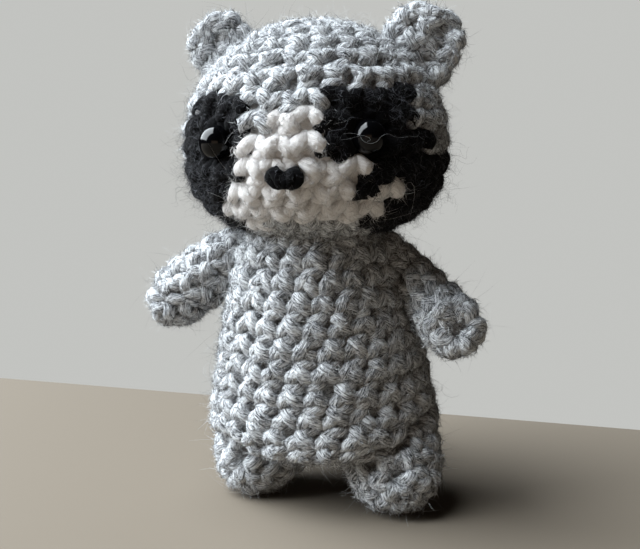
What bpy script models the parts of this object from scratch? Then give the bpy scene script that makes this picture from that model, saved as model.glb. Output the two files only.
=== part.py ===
# Crocheted raccoon toy: a stuffed head, trunk, limbs, ears and ringed tail, sewn together,
# with plastic safety eyes, an embroidered nose and a face mask worked in other yarns.
# Metres, +Z up. The toy faces -Y, its own left side is +X, and it stands on the floor z = 0.

from math import acos, atan2, copysign, cos, pi, radians, sin

import bmesh
import bpy
from mathutils import Matrix, Vector

MM = 0.001
GAP = 0.3 * MM              # clear space between pieces that touch

# head: widest a little below the middle, fuller towards the cheeks than towards the crown
HEAD_RADIUS = 26.1 * MM
HEAD_LEVEL = 71.6 * MM      # height of the widest round
HEAD_RISE = 24.2 * MM
HEAD_DROP = 18.2 * MM
CROWN_POWER = 2.0
CHEEK_POWER = 2.6
HEAD_TURN = radians(2.3)    # the head looks slightly to its own left
INLAY_SCALE = 0.87          # core inside the mask and muzzle, which are about 3 mm thick

# face
EYE_RADIUS = 3.1 * MM
EYE_HEIGHT = 3.3 * MM
EYE_BACK = 0.8 * MM         # the eye's low back, sunk in the yarn
EYE_POWER = 0.9
EYE_SEAT = 1.1 * MM         # how far the eye's flat back sits below the yarn
EYE_ANGLE = radians(33.5)   # either side of the face's middle
EYE_LEVELS = {"left": 73.3 * MM, "right": 72.3 * MM}
NOSE_LEVEL = 66.7 * MM
NOSE_WIDTH = 6.6 * MM
NOSE_HEIGHT = 4.2 * MM
NOSE_DEPTH = 3.0 * MM
NOSE_STAND = 0.2 * MM       # how far the nose's middle stands off the muzzle
NOSE_NOTCH = 0.30           # how deep the top dips between its two lobes
NOSE_TAPER = 0.22           # how much narrower its lower point is
MUZZLE_LEVEL = 66.6 * MM
MUZZLE_RISE = 10.8 * MM
MUZZLE_DROP = 9.0 * MM
MUZZLE_TOP_HALF = 4.0 * MM
MUZZLE_LOW_HALF = 16.0 * MM
MUZZLE_CORNER = 0.45        # how square its top and bottom ends are
MUZZLE_SPREAD = 1.25        # it reaches its low width before its foot
MASK_ANGLE = radians(49.0)
MASK_LEVEL = 69.4 * MM
MASK_HALF_WIDTH = 15.6 * MM
MASK_HALF_HEIGHT = 12.0 * MM
MASK_TILT = radians(28.0)   # each patch drops towards the cheek

# trunk: a bell from the neck down to the hips, flatter front to back at the hips
NECK_RADIUS = 13.6 * MM
NECK_LEVEL = 54.4 * MM
HIP_RADIUS = 24.0 * MM
HIP_LEVEL = 13.0 * MM
CROTCH_LEVEL = 9.4 * MM
HIP_DEPTH = 0.83            # front to back over side to side at the hips
TRUNK_SWELL = 0.62          # how early the trunk widens below the neck
NECK_DOME = 5.0 * MM        # the trunk's closed top, inside the head's seam
NECK_SHARE, SIDE_SHARE = 0.14, 0.66     # of the way from the dome's top to the crotch
HIP_POWER = 0.8             # how the underside rounds over from the hips
TRUNK_SHIFT = Vector((1.8 * MM, -0.8 * MM, 0.0))    # the hips against the neck

# limbs: free tip, bend and root of each axis, then the radius at the tip end and at the root
LEFT_ARM = ((30.2, -12.4, 37.2), (29.6, -4.2, 35.4), (12.5, 0.6, 54.5))
LEFT_ARM_RADII = (6.7 * MM, 4.2 * MM)
RIGHT_ARM = ((-33.8, -2.9, 35.4), (-25.4, -1.2, 44.6), (-11.8, 0.6, 53.4))
RIGHT_ARM_RADII = (7.0 * MM, 5.6 * MM)
LEFT_LEG = ((19.2, -12.8, 8.0), (17.2, -2.0, 6.2), (13.0, 2.5, 20.0))
RIGHT_LEG = ((-12.0, -9.2, 7.5), (-11.2, 2.0, 6.7), (-10.0, 4.5, 20.0))
LEG_RADII = (9.8 * MM, 9.8 * MM)
TAIL = ((2.5, 38.5, 5.4), (1.5, 27.0, 3.4), (1.0, 12.0, 20.4))
TAIL_RADII = (7.0 * MM, 6.0 * MM)
LIMB_POWER = 2.5            # how blunt the stuffed ends are

# ears: flattened cups, sewn on by their open edge
LEFT_EAR = (20.7, 0.9, 90.0)
LEFT_EAR_HALVES = (7.8, 4.4, 8.6)
RIGHT_EAR = (-19.2, -0.4, 91.2)
RIGHT_EAR_HALVES = (6.6, 4.0, 6.9)
EAR_LEAN = radians(40.0)
EAR_POWER = 0.9             # a little squarer than a plain spheroid

# from the middle of the head to the middle of the toy's own box
ORIGIN_SHIFT = Vector((0.6 * MM, -5.6 * MM, 0.0))


def new_collection(name):
    made = bpy.data.collections.new(name)
    bpy.context.scene.collection.children.link(made)
    return made


def material(name, colour, roughness, metallic=0.0):
    made = bpy.data.materials.new(name)
    made.use_nodes = True
    shader = made.node_tree.nodes["Principled BSDF"]
    shader.inputs["Base Color"].default_value = (*colour, 1.0)
    shader.inputs["Roughness"].default_value = roughness
    shader.inputs["Metallic"].default_value = metallic
    return made


def add_object(name, bm, finish, collection, smooth_angle=radians(40.0)):
    mesh = bpy.data.meshes.new(name)
    bm.to_mesh(mesh)
    bm.free()
    mesh.shade_smooth()
    mesh.set_sharp_from_angle(angle=smooth_angle)
    made = bpy.data.objects.new(name, mesh)
    collection.objects.link(made)
    if finish:
        mesh.materials.append(finish)
    else:
        made.hide_render = True
        made.display_type = "WIRE"
    return made


def round_form(surface, segments, rings, grow=0.0):
    """A closed form worked in the round: a sphere whose points go where surface(around, fall) says."""
    bm = bmesh.new()
    bmesh.ops.create_uvsphere(bm, u_segments=segments, v_segments=rings, radius=1.0)
    for vert in bm.verts:
        around = atan2(vert.co.y, vert.co.x)
        fall = acos(max(-1.0, min(1.0, vert.co.z))) / pi
        vert.co = surface(around, fall)
    bmesh.ops.recalc_face_normals(bm, faces=bm.faces)
    if grow:
        bm.normal_update()
        for vert in bm.verts:
            vert.co += vert.normal * grow
    return bm


def power(value, exponent):
    return copysign(abs(value) ** exponent, value)


def head_surface(around, fall):
    tilt = fall * pi
    upper = tilt < pi / 2
    bend = 2.0 / (CROWN_POWER if upper else CHEEK_POWER)
    reach = HEAD_RADIUS * power(sin(tilt), bend)
    height = power(cos(tilt), bend) * (HEAD_RISE if upper else HEAD_DROP)
    return Vector((reach * cos(around), reach * sin(around), HEAD_LEVEL + height))


def trunk_surface(around, fall):
    if fall < NECK_SHARE:
        tilt = fall / NECK_SHARE * pi / 2
        reach = NECK_RADIUS * sin(tilt)
        height = NECK_LEVEL + NECK_DOME * cos(tilt)
        down = 0.0
    elif fall < NECK_SHARE + SIDE_SHARE:
        down = (fall - NECK_SHARE) / SIDE_SHARE
        reach = NECK_RADIUS + (HIP_RADIUS - NECK_RADIUS) * down ** TRUNK_SWELL
        height = NECK_LEVEL + (HIP_LEVEL - NECK_LEVEL) * down
    else:
        tilt = (fall - NECK_SHARE - SIDE_SHARE) / (1.0 - NECK_SHARE - SIDE_SHARE) * pi / 2
        reach = HIP_RADIUS * power(cos(tilt), HIP_POWER)
        height = HIP_LEVEL - (HIP_LEVEL - CROTCH_LEVEL) * power(sin(tilt), HIP_POWER)
        down = 1.0
    depth = 1.0 + (HIP_DEPTH - 1.0) * down
    point = Vector((reach * cos(around), reach * depth * sin(around), height))
    return point + TRUNK_SHIFT * down


def limb_surface(axis, radii):
    """A stuffed tube round a bent axis, from its free tip (fall 0) to its root (fall 1)."""
    tip, bend, root = (Vector(point) * MM for point in axis)

    def surface(around, fall):
        along = power(cos(fall * pi), 2.0 / LIMB_POWER)
        swell = power(sin(fall * pi), 2.0 / LIMB_POWER)
        t = (1.0 - along) / 2.0
        centre = tip.lerp(bend, t).lerp(bend.lerp(root, t), t)
        heading = (bend.lerp(root, t) - tip.lerp(bend, t)).normalized()
        side = heading.cross(Vector((0.0, 0.0, 1.0))).normalized()
        upward = side.cross(heading)
        blend = t * t * (3.0 - 2.0 * t)
        reach = (radii[0] + (radii[1] - radii[0]) * blend) * swell
        return centre + (side * cos(around) + upward * sin(around)) * reach

    return surface


def ear_surface(centre, halves, lean):
    """A flattened cup: a blunt spheroid, tip up, leaning outwards over the side of the head."""
    turn = Matrix.Rotation(lean, 3, "Y")
    middle = Vector(centre) * MM

    def surface(around, fall):
        up = power(cos(fall * pi), EAR_POWER)
        out = power(sin(fall * pi), EAR_POWER)
        point = Vector((out * cos(around) * halves[0], out * sin(around) * halves[1], up * halves[2]))
        return middle + turn @ (point * MM)

    return surface


def eye_form(grow=0.0):
    """A safety eye's dome, flat at the back, bulging along +Z."""
    def surface(around, fall):
        tilt = fall * pi
        reach = EYE_RADIUS * power(sin(tilt), EYE_POWER)
        height = power(cos(tilt), EYE_POWER) * (EYE_HEIGHT if tilt < pi / 2 else EYE_BACK)
        return Vector((reach * cos(around), reach * sin(around), height))

    return round_form(surface, 20, 8, grow)


def nose_form(grow=0.0):
    """An embroidered nose: two lobes above, one round point below, bulging along -Y."""
    def surface(around, fall):
        tilt = fall * pi
        across = sin(tilt) * cos(around)
        upright = sin(tilt) * sin(around)
        notch = NOSE_NOTCH * max(0.0, upright) * (1.0 - abs(across)) ** 2
        taper = 1.0 - NOSE_TAPER * max(0.0, -upright)
        return Vector((across * taper * NOSE_WIDTH / 2.0,
                       -cos(tilt) * NOSE_DEPTH / 2.0,
                       (upright - notch) * NOSE_HEIGHT / 2.0))

    return round_form(surface, 20, 8, grow)


def head_reach(level):
    """Radius of the head at a height."""
    rise = level - HEAD_LEVEL
    span, bend = (HEAD_RISE, CROWN_POWER) if rise > 0 else (HEAD_DROP, CHEEK_POWER)
    return HEAD_RADIUS * (1.0 - (abs(rise) / span) ** bend) ** (1.0 / bend)


def on_head(angle, level, sink):
    """Placement on the face: +Z of the piece points out of the head, sunk below its yarn."""
    out = Vector((sin(angle), -cos(angle), 0.0))
    point = out * (head_reach(level) - sink) + Vector((0.0, 0.0, level))
    upright = Vector((0.0, 0.0, 1.0))
    turn = Matrix((out.cross(upright) * -1.0, upright, out)).transposed()
    return Matrix.Translation(point) @ turn.to_4x4()


def muzzle_outline(grow):
    """Half-width of the white muzzle for a share of its height, narrow between the eyes."""
    points = []
    steps = 14
    for i in range(steps + 1):
        tilt = i / steps * pi
        level = MUZZLE_LEVEL + cos(tilt) * ((MUZZLE_RISE if cos(tilt) > 0 else MUZZLE_DROP) + grow)
        share = 0.5 - 0.5 * cos(min(tilt * MUZZLE_SPREAD, pi))
        half = MUZZLE_TOP_HALF + (MUZZLE_LOW_HALF - MUZZLE_TOP_HALF) * share
        points.append((half * power(sin(tilt), MUZZLE_CORNER) + (grow if 0 < i < steps else 0.0), level))
    return points + [(-x, z) for x, z in reversed(points[1:-1])]


def mask_outline(grow, sign):
    """Oval of one black eye patch, in its own upright plane, its outer end the lower one."""
    steps = 28
    points = []
    for i in range(steps):
        angle = i / steps * 2 * pi
        across = cos(angle) * (MASK_HALF_WIDTH + grow)
        upright = sin(angle) * (MASK_HALF_HEIGHT + grow)
        points.append((sign * (across * cos(MASK_TILT) + upright * sin(MASK_TILT)),
                       MASK_LEVEL + upright * cos(MASK_TILT) - across * sin(MASK_TILT)))
    return points


def prism(outline, angle):
    """An upright outline pushed through the front of the head, outwards at this angle from -Y."""
    bm = bmesh.new()
    near, far = 5.0 * MM, HEAD_RADIUS + 8.0 * MM
    rim = [bm.verts.new((x, -near, z)) for x, z in outline]
    face = bm.faces.new(rim)
    pushed = bmesh.ops.extrude_face_region(bm, geom=[face])
    moved = [item for item in pushed["geom"] if isinstance(item, bmesh.types.BMVert)]
    bmesh.ops.translate(bm, verts=moved, vec=(0.0, near - far, 0.0))
    bmesh.ops.recalc_face_normals(bm, faces=bm.faces)
    bmesh.ops.rotate(bm, verts=bm.verts, cent=(0, 0, 0), matrix=Matrix.Rotation(angle, 3, "Z"))
    return bm


def head_core(shrink):
    """The inside of the head, behind the inlaid mask and muzzle."""
    bm = round_form(head_surface, 32, 20, -shrink)
    middle = Vector((0.0, 0.0, HEAD_LEVEL))
    for vert in bm.verts:
        vert.co = middle + (vert.co - middle) * INLAY_SCALE
    return bm


def cut(target, cutter, operation="DIFFERENCE"):
    modifier = target.modifiers.new(operation.lower() + "_" + cutter.name, "BOOLEAN")
    modifier.operation = operation
    modifier.object = cutter
    modifier.solver = "EXACT"


def main():
    for item in list(bpy.data.objects):
        bpy.data.objects.remove(item, do_unlink=True)
    parts = new_collection("crochet_raccoon")
    cutters = new_collection("cutters")

    grey = material("grey_heather_yarn", (0.45, 0.46, 0.47), 0.95)
    black = material("black_yarn", (0.006, 0.006, 0.008), 0.95)
    white = material("white_yarn", (0.82, 0.80, 0.76), 0.95)
    gloss = material("black_plastic", (0.004, 0.004, 0.005), 0.08)

    toy = bpy.data.objects.new("toy", None)
    toy.location = ORIGIN_SHIFT
    parts.objects.link(toy)
    face = bpy.data.objects.new("face", None)
    face.rotation_euler = (0.0, 0.0, HEAD_TURN)
    face.parent = toy
    parts.objects.link(face)

    def part(name, bm, finish, parent=toy):
        made = add_object(name, bm, finish, parts)
        made.parent = parent
        return made

    def tool(name, bm, parent=toy):
        made = add_object(name, bm, None, cutters)
        made.parent = parent
        return made

    head = part("head", round_form(head_surface, 36, 20), grey, face)
    trunk = part("trunk", round_form(trunk_surface, 36, 20), grey)

    head_space = tool("head_space", round_form(head_surface, 36, 20, GAP), face)
    trunk_space = tool("trunk_space", round_form(trunk_surface, 36, 20, GAP))
    below_floor = tool("below_floor", floor_block())
    cut(trunk, head_space)

    limbs = (("arm_left", LEFT_ARM, LEFT_ARM_RADII), ("arm_right", RIGHT_ARM, RIGHT_ARM_RADII),
             ("leg_left", LEFT_LEG, LEG_RADII), ("leg_right", RIGHT_LEG, LEG_RADII),
             ("tail", TAIL, TAIL_RADII))
    for name, axis, radii in limbs:
        limb = part(name, round_form(limb_surface(axis, radii), 20, 14), grey)
        cut(limb, trunk_space)
        if name.startswith("arm"):
            cut(limb, head_space)
        else:
            cut(limb, below_floor)

    for name, centre, halves, lean in (("ear_left", LEFT_EAR, LEFT_EAR_HALVES, EAR_LEAN),
                                       ("ear_right", RIGHT_EAR, RIGHT_EAR_HALVES, -EAR_LEAN)):
        ear = part(name, round_form(ear_surface(centre, halves, lean), 20, 12), grey, face)
        cut(ear, head_space)

    # mask and muzzle: the outer 3 mm of the head in other yarn, each with a thin gap round it
    core = tool("core", head_core(0.0), face)
    core_space = tool("core_space", head_core(GAP), face)
    muzzle = part("muzzle", round_form(head_surface, 36, 20), white, face)
    cut(muzzle, tool("muzzle_prism", prism(muzzle_outline(0.0), 0.0), face), "INTERSECT")
    cut(muzzle, core)
    muzzle_space = tool("muzzle_space", prism(muzzle_outline(GAP), 0.0), face)
    pocket = tool("pocket", prism(muzzle_outline(GAP), 0.0), face)

    for side, sign in (("left", 1.0), ("right", -1.0)):
        angle = MASK_ANGLE * sign
        patch = part("mask_" + side, round_form(head_surface, 36, 20), black, face)
        cut(patch, tool("mask_prism_" + side, prism(mask_outline(0.0, sign), angle), face), "INTERSECT")
        cut(patch, muzzle_space)
        cut(patch, core)
        cut(pocket, tool("mask_space_" + side, prism(mask_outline(GAP, sign), angle), face), "UNION")

        place = on_head(EYE_ANGLE * sign, EYE_LEVELS[side], EYE_SEAT)
        eye = part("eye_" + side, eye_form(), gloss, face)
        eye.matrix_local = place
        seat = tool("eye_seat_" + side, eye_form(GAP), face)
        seat.matrix_local = place
        cut(patch, seat)

    cut(pocket, core_space)
    cut(head, pocket)

    nose = part("nose", nose_form(), black, face)
    nose.location = (0.0, -head_reach(NOSE_LEVEL) - NOSE_STAND, NOSE_LEVEL)
    nose_seat = tool("nose_seat", nose_form(GAP), face)
    nose_seat.location = nose.location
    cut(muzzle, nose_seat)


def floor_block():
    """A block whose top is the floor: it cuts the resting flats on the feet and the tail."""
    bm = bmesh.new()
    bmesh.ops.create_cube(bm, size=0.2)
    bmesh.ops.translate(bm, verts=bm.verts, vec=(0.0, 0.0, -0.1))
    return bm


main()
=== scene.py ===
# Crocheted raccoon toy: every stitch is a modelled loop of twisted yarn over a stuffed form,
# with teased fibres, plastic safety eyes and an embroidered nose. Lengths are in millimetres,
# and each mesh turns them to metres as it is made.

from math import ceil, pi, radians, sqrt, tau

import bpy
import numpy as np
from mathutils import Matrix, Vector


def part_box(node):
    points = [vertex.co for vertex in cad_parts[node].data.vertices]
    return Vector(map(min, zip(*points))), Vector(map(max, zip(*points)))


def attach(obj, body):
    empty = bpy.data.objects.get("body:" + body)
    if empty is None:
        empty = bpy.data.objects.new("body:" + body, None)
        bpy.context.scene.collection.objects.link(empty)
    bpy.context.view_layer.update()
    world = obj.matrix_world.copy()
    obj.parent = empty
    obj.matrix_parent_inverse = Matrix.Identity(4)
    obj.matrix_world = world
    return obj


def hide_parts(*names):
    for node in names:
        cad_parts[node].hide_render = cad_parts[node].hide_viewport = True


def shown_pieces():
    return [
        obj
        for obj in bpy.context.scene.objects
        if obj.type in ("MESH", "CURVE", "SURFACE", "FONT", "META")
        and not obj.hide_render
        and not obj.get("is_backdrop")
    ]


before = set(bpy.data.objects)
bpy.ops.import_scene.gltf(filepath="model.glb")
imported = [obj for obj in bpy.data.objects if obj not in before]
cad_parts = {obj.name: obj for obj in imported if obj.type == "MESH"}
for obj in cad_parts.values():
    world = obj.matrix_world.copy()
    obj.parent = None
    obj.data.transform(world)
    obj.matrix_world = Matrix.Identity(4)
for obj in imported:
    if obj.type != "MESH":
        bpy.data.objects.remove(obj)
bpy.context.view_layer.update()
mm = 0.001      # in metres
tiny = 1e-9     # keeps divisions safe
dice = np.random.default_rng(11)        # the seed


def boxOf(node):
    low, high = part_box(node)
    return np.array(low) / mm, np.array(high) / mm


def hexToLinear(code):
    parts = [int(code[i:i + 2], 16) / 255 for i in (1, 3, 5)]
    return [c / 12.92 if c <= 0.04045 else ((c + 0.055) / 1.055) ** 2.4 for c in parts] + [1.0]


def addNode(tree, kind, settings=None, links=None):
    node = tree.nodes.new(kind)
    for name, value in (settings or {}).items():
        if isinstance(name, int) or name in node.inputs:
            node.inputs[name].default_value = value
        else:
            setattr(node, name, value)
    for name, source in (links or {}).items():
        tree.links.new(source, node.inputs[name])
    return node


def newMaterial(name):
    made = bpy.data.materials.new(name)
    made.use_nodes = True
    made.node_tree.nodes.clear()
    return made, made.node_tree


def power(value, exponent):
    return np.sign(value) * np.abs(value) ** exponent


def turned(points, angle, axis="Z"):
    return points @ np.array(Matrix.Rotation(angle, 3, axis)).T


def stack(x, y, z):
    return np.stack(np.broadcast_arrays(x, y, z), axis=-1)


def unit(vectors):
    return vectors / np.maximum(np.linalg.norm(vectors, axis=-1, keepdims=True), tiny)


def inset(share, pad):
    # a share of a map cell, kept clear of the cell's edges
    return pad + (1 - 2 * pad) * share


# Acrylic worsted yarn, spun and four-ply twisted: a dull, woolly strand with no gloss, and in the
# heather grey a mix of pale and dark fibres that reads as fine streaks along the plies. Stops are
# where on the streaks the three tones sit, and plump is how full the strands are drawn.
yarns = {
    "grey": {"name": "heatherAcrylicYarnTwisted", "slot": "grey_yarn", "dark": "#202124",
             "middle": "#96989C", "pale": "#DEE1E3", "stops": (0.39, 0.48, 0.57), "sheen": 0.2,
             "plump": 1.06},
    "black": {"name": "blackAcrylicYarnTwisted", "slot": "black_yarn", "dark": "#020203",
              "middle": "#08080A", "pale": "#1D1D21", "stops": (0.30, 0.55, 0.80), "sheen": 0.02,
              "plump": 1.0},
    "white": {"name": "whiteAcrylicYarnTwisted", "slot": "white_yarn", "dark": "#BCB8B6",
              "middle": "#D8D5D3", "pale": "#ECEAE9", "stops": (0.25, 0.45, 0.62), "sheen": 0.25,
              "plump": 1.1},
}
colours = tuple(yarns)
# Streaks lie along the strand, and broad ones are where it runs darker or paler for a while. Real
# fibres are 0.02 mm thick, so the fine ones are drawn about ten times as coarse to show.
streak = {"fine": (1.2, 0.20, 0.20), "detail": 4.0, "grit": 0.75, "warp": 1.0,
          "broad": (4.0, 1.6, 1.6), "broadDetail": 1.0, "broadShare": 0.18, "bump": 0.14,
          "bumpStrength": 0.9, "roughness": 0.95, "sheenSpread": 0.45, "specular": 0.1}


def makeYarn(look):
    made, tree = newMaterial(look["name"])
    place = addNode(tree, "ShaderNodeAttribute", {"attribute_name": "strand"})
    fine, broad = (addNode(tree, "ShaderNodeVectorMath",
                           {"operation": "MULTIPLY", 1: [1 / size for size in streak[kind]]},
                           {0: place.outputs["Vector"]}) for kind in ("fine", "broad"))
    streaks = addNode(tree, "ShaderNodeTexNoise",
                      {"Scale": 1.0, "Detail": streak["detail"], "Roughness": streak["grit"],
                       "Distortion": streak["warp"]},
                      {"Vector": fine.outputs[0]})
    patches = addNode(tree, "ShaderNodeTexNoise", {"Scale": 1.0, "Detail": streak["broadDetail"]},
                      {"Vector": broad.outputs[0]})
    mixed = addNode(tree, "ShaderNodeMath", {"operation": "MULTIPLY_ADD", 1: streak["broadShare"]},
                    {0: patches.outputs[0], 2: streaks.outputs[0]})
    shade = addNode(tree, "ShaderNodeMath", {"operation": "SUBTRACT", 1: streak["broadShare"] / 2},
                    {0: mixed.outputs[0]})
    ramp = addNode(tree, "ShaderNodeValToRGB", {}, {"Fac": shade.outputs[0]})
    stops = ramp.color_ramp.elements
    stops.new(0.5)      # the third stop; all three are moved below
    for stop, spot, tone in zip(stops, look["stops"], ("dark", "middle", "pale")):
        stop.position = spot
        stop.color = hexToLinear(look[tone])
    bump = addNode(tree, "ShaderNodeBump",
                   {"Strength": streak["bumpStrength"], "Distance": streak["bump"] * mm},
                   {"Height": streaks.outputs[0]})
    shader = addNode(tree, "ShaderNodeBsdfPrincipled",
                     {"Roughness": streak["roughness"], "Sheen Weight": look["sheen"],
                      "Sheen Roughness": streak["sheenSpread"],
                      "Specular IOR Level": streak["specular"]},
                     {"Base Color": ramp.outputs["Color"], "Normal": bump.outputs["Normal"]})
    addNode(tree, "ShaderNodeOutputMaterial", {}, {"Surface": shader.outputs[0]})
    return made


yarnOf = {colour: makeYarn(look) for colour, look in yarns.items()}
print("yarns", list(yarnOf))


# Each stuffed form is a function of an angle round it and a share (0 to 1) from pole to pole,
# the same as the solids' own, placed by the frame. Widest is a share of the head's height, and
# the powers say how full the crown and the cheeks are.
headLow, headHigh = boxOf("head")
toyMiddle = np.array([*(headLow + headHigh)[:2] / 2, 0.0])
headShape = {"radius": (headHigh - headLow)[0] / 2, "bottom": headLow[2], "top": headHigh[2],
             "widest": 0.4292, "crownPower": 2.0, "cheekPower": 2.6, "turn": radians(2.3)}
headLevel = headShape["bottom"] + headShape["widest"] * (headShape["top"] - headShape["bottom"])


def headForm(around, fall):
    shape = headShape
    tilt = fall * pi
    upper = tilt < pi / 2
    bend = np.where(upper, 2 / shape["crownPower"], 2 / shape["cheekPower"])
    span = np.where(upper, shape["top"] - headLevel, headLevel - shape["bottom"])
    reach = shape["radius"] * power(np.sin(tilt), bend)
    height = headLevel + span * power(np.cos(tilt), bend)
    return turned(stack(reach * np.cos(around), reach * np.sin(around), height), shape["turn"]) + toyMiddle


# A cone with a domed neck and a round seat: depth is front to back against side to side at the
# hips, and shift moves the hips. Collar is how far above the neck's level still counts as inside,
# and thinnest keeps divisions safe.
trunkLow, trunkHigh = boxOf("trunk")
trunkShape = {"neckRadius": 13.6, "neckLevel": 54.4, "dome": 5.0, "collar": 2.0,
              "hipRadius": (trunkHigh - trunkLow)[0] / 2, "hipLevel": 15.0, "crotch": trunkLow[2],
              "neckShare": 0.14, "sideShare": 0.66, "swell": 0.62, "hipPower": 0.8,
              "depth": 0.78, "shift": np.array([1.8, -0.8, 0.0]), "thinnest": 0.1}


def trunkForm(around, fall):
    shape = trunkShape
    top, side = shape["neckShare"], shape["sideShare"]
    domeTilt = np.clip(fall / top, 0, 1) * pi / 2
    down = np.clip((fall - top) / side, 0, 1)
    footTilt = np.clip((fall - top - side) / (1 - top - side), 0, 1) * pi / 2
    reach = shape["neckRadius"] + (shape["hipRadius"] - shape["neckRadius"]) * down ** shape["swell"]
    reach = np.where(fall < top, shape["neckRadius"] * np.sin(domeTilt), reach)
    under = shape["hipRadius"] * power(np.cos(footTilt), shape["hipPower"])
    reach = np.where(fall > top + side, under, reach)
    height = shape["neckLevel"] + (shape["hipLevel"] - shape["neckLevel"]) * down
    height = height + np.where(fall < top, shape["dome"] * np.cos(domeTilt), 0)
    height = height - (shape["hipLevel"] - shape["crotch"]) * power(np.sin(footTilt), shape["hipPower"])
    depth = 1 + (shape["depth"] - 1) * down
    point = stack(reach * np.cos(around), reach * depth * np.sin(around), height)
    return point + shape["shift"] * np.asarray(down)[..., None] + toyMiddle


# each limb's axis from its free tip over its bend to its root, and its radius at both ends
limbShapes = {
    "arm_left": {"axis": ((30.2, -12.4, 37.2), (29.6, -4.2, 35.4), (12.5, 0.6, 54.5)),
                 "radii": (6.7, 4.2)},
    "arm_right": {"axis": ((-33.8, -2.9, 35.4), (-25.4, -1.2, 44.6), (-11.8, 0.6, 53.4)),
                  "radii": (7.0, 5.6)},
    "leg_left": {"axis": ((19.4, -14.8, 8.8), (17.2, -2.0, 6.2), (13.0, 2.5, 20.0)),
                 "radii": (9.8, 9.8)},
    "leg_right": {"axis": ((-12.2, -11.8, 8.3), (-11.2, 2.0, 6.7), (-10.0, 4.5, 20.0)),
                  "radii": (9.8, 9.8)},
    "tail": {"axis": ((2.5, 38.5, 5.4), (1.5, 27.0, 3.4), (1.0, 12.0, 20.4)), "radii": (7.0, 6.0)},
}
limbPower = 2.5     # how blunt the ends are


def limbRing(shape, t):
    # centre, heading and plain radius of a limb at a share t of its way from tip to root
    tip, bend, root = (np.array(point) for point in shape["axis"])
    share = t[..., None]
    first, second = tip + (bend - tip) * share, bend + (root - bend) * share
    blend = t ** 2 * (3 - 2 * t)
    reach = shape["radii"][0] + (shape["radii"][1] - shape["radii"][0]) * blend
    return first + (second - first) * share, unit(second - first), reach


def limbForm(shape):
    def form(around, fall):
        around, fall = np.broadcast_arrays(around, fall)
        t = (1 - power(np.cos(fall * pi), 2 / limbPower)) / 2
        swell = power(np.sin(fall * pi), 2 / limbPower)
        centre, heading, reach = limbRing(shape, t)
        side = unit(np.cross(heading, (0.0, 0.0, 1.0)))
        upward = np.cross(side, heading)
        spoke = side * np.cos(around)[..., None] + upward * np.sin(around)[..., None]
        point = centre + spoke * (reach * swell)[..., None] + toyMiddle
        point[..., 2] = np.maximum(point[..., 2], 0.0)
        return point

    return form


# flattened cups, their rims forward; the crease is a fold down the front of the left one
earShapes = {
    "ear_left": {"centre": (20.0, 0.9, 89.9), "halves": (7.8, 4.4, 8.6), "lean": radians(32),
                 "cup": 1.4, "crease": 1.3},
    "ear_right": {"centre": (-18.9, -0.4, 90.6), "halves": (6.6, 4.0, 6.9), "lean": radians(-40),
                  "cup": 1.8, "crease": 0.0},
}
# shares of an ear's half width, apart from the power, which squares the outline
earLook = {"power": 0.8, "slim": 0.82, "creasePlace": 0.38, "creaseWidth": 0.2, "creaseEdge": 2}


def earForm(shape):
    def form(around, fall):
        out = power(np.sin(fall * pi), earLook["power"])
        up = power(np.cos(fall * pi), earLook["power"])
        across, front = out * np.cos(around), out * np.sin(around)
        hollow = shape["cup"] * (1 - np.clip(across ** 2 + up ** 2, 0, 1))
        aside = (across - earLook["creasePlace"]) / earLook["creaseWidth"]
        fold = shape["crease"] * np.exp(-aside ** 2) * np.clip(-front * earLook["creaseEdge"], 0, 1)
        wide, deep, high = shape["halves"]
        point = stack(across * wide, front * deep * earLook["slim"] + hollow + fold, up * high)
        point = turned(point, shape["lean"], "Y") + np.array(shape["centre"])
        return turned(point, headShape["turn"]) + toyMiddle

    return form


# how deep a point lies inside the head or the trunk, as a share of its radius, below zero outside
def insideHead(point):
    shape = headShape
    flat = np.linalg.norm(point[..., :2] - toyMiddle[:2], axis=-1) / shape["radius"]
    rise = point[..., 2] - headLevel
    span = np.where(rise > 0, shape["top"] - headLevel, headLevel - shape["bottom"])
    bend = np.where(rise > 0, shape["crownPower"], shape["cheekPower"])
    return 1 - (flat ** bend + (np.abs(rise) / span) ** bend) ** (1 / bend)


def insideTrunk(point):
    shape, level = trunkShape, point[..., 2]
    down = np.clip((shape["neckLevel"] - level) / (shape["neckLevel"] - shape["hipLevel"]), 0, 1)
    reach = shape["neckRadius"] + (shape["hipRadius"] - shape["neckRadius"]) * down ** shape["swell"]
    depth = 1 + (shape["depth"] - 1) * down
    under = np.clip((shape["hipLevel"] - level) / (shape["hipLevel"] - shape["crotch"]), 0, 1)
    tilt = np.arcsin(under ** (1 / shape["hipPower"]))
    reach = np.maximum(reach * np.cos(tilt) ** shape["hipPower"], shape["thinnest"])
    fromAxis = (point - toyMiddle - shape["shift"] * down[..., None])[..., :2]
    flat = fromAxis / np.stack((reach, reach * depth), -1)
    outside = (level < shape["crotch"]) | (level > shape["neckLevel"] + shape["collar"])
    return np.where(outside, -1.0, 1 - np.linalg.norm(flat, axis=-1))


# how deep a point lies inside a limb, in millimetres, tried at forty places along its axis
def insideLimb(point, shape):
    t = np.linspace(0.01, 0.99, 40)
    centre, _, reach = limbRing(shape, t)
    blunt = power(1 - 2 * t, limbPower / 2)
    swell = (1 - blunt ** 2) ** (1 / limbPower)
    gaps = np.linalg.norm(point[..., None, :] - (centre + toyMiddle), axis=-1)
    return np.max(reach * swell - gaps, axis=-1)


# how finely forms are measured: counts of places, and the small steps that give a slope
fineness = {"falls": 501, "turns": 24, "girth": 49, "nudge": 0.001, "slope": 0.002, "poleGap": 0.004}


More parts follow.
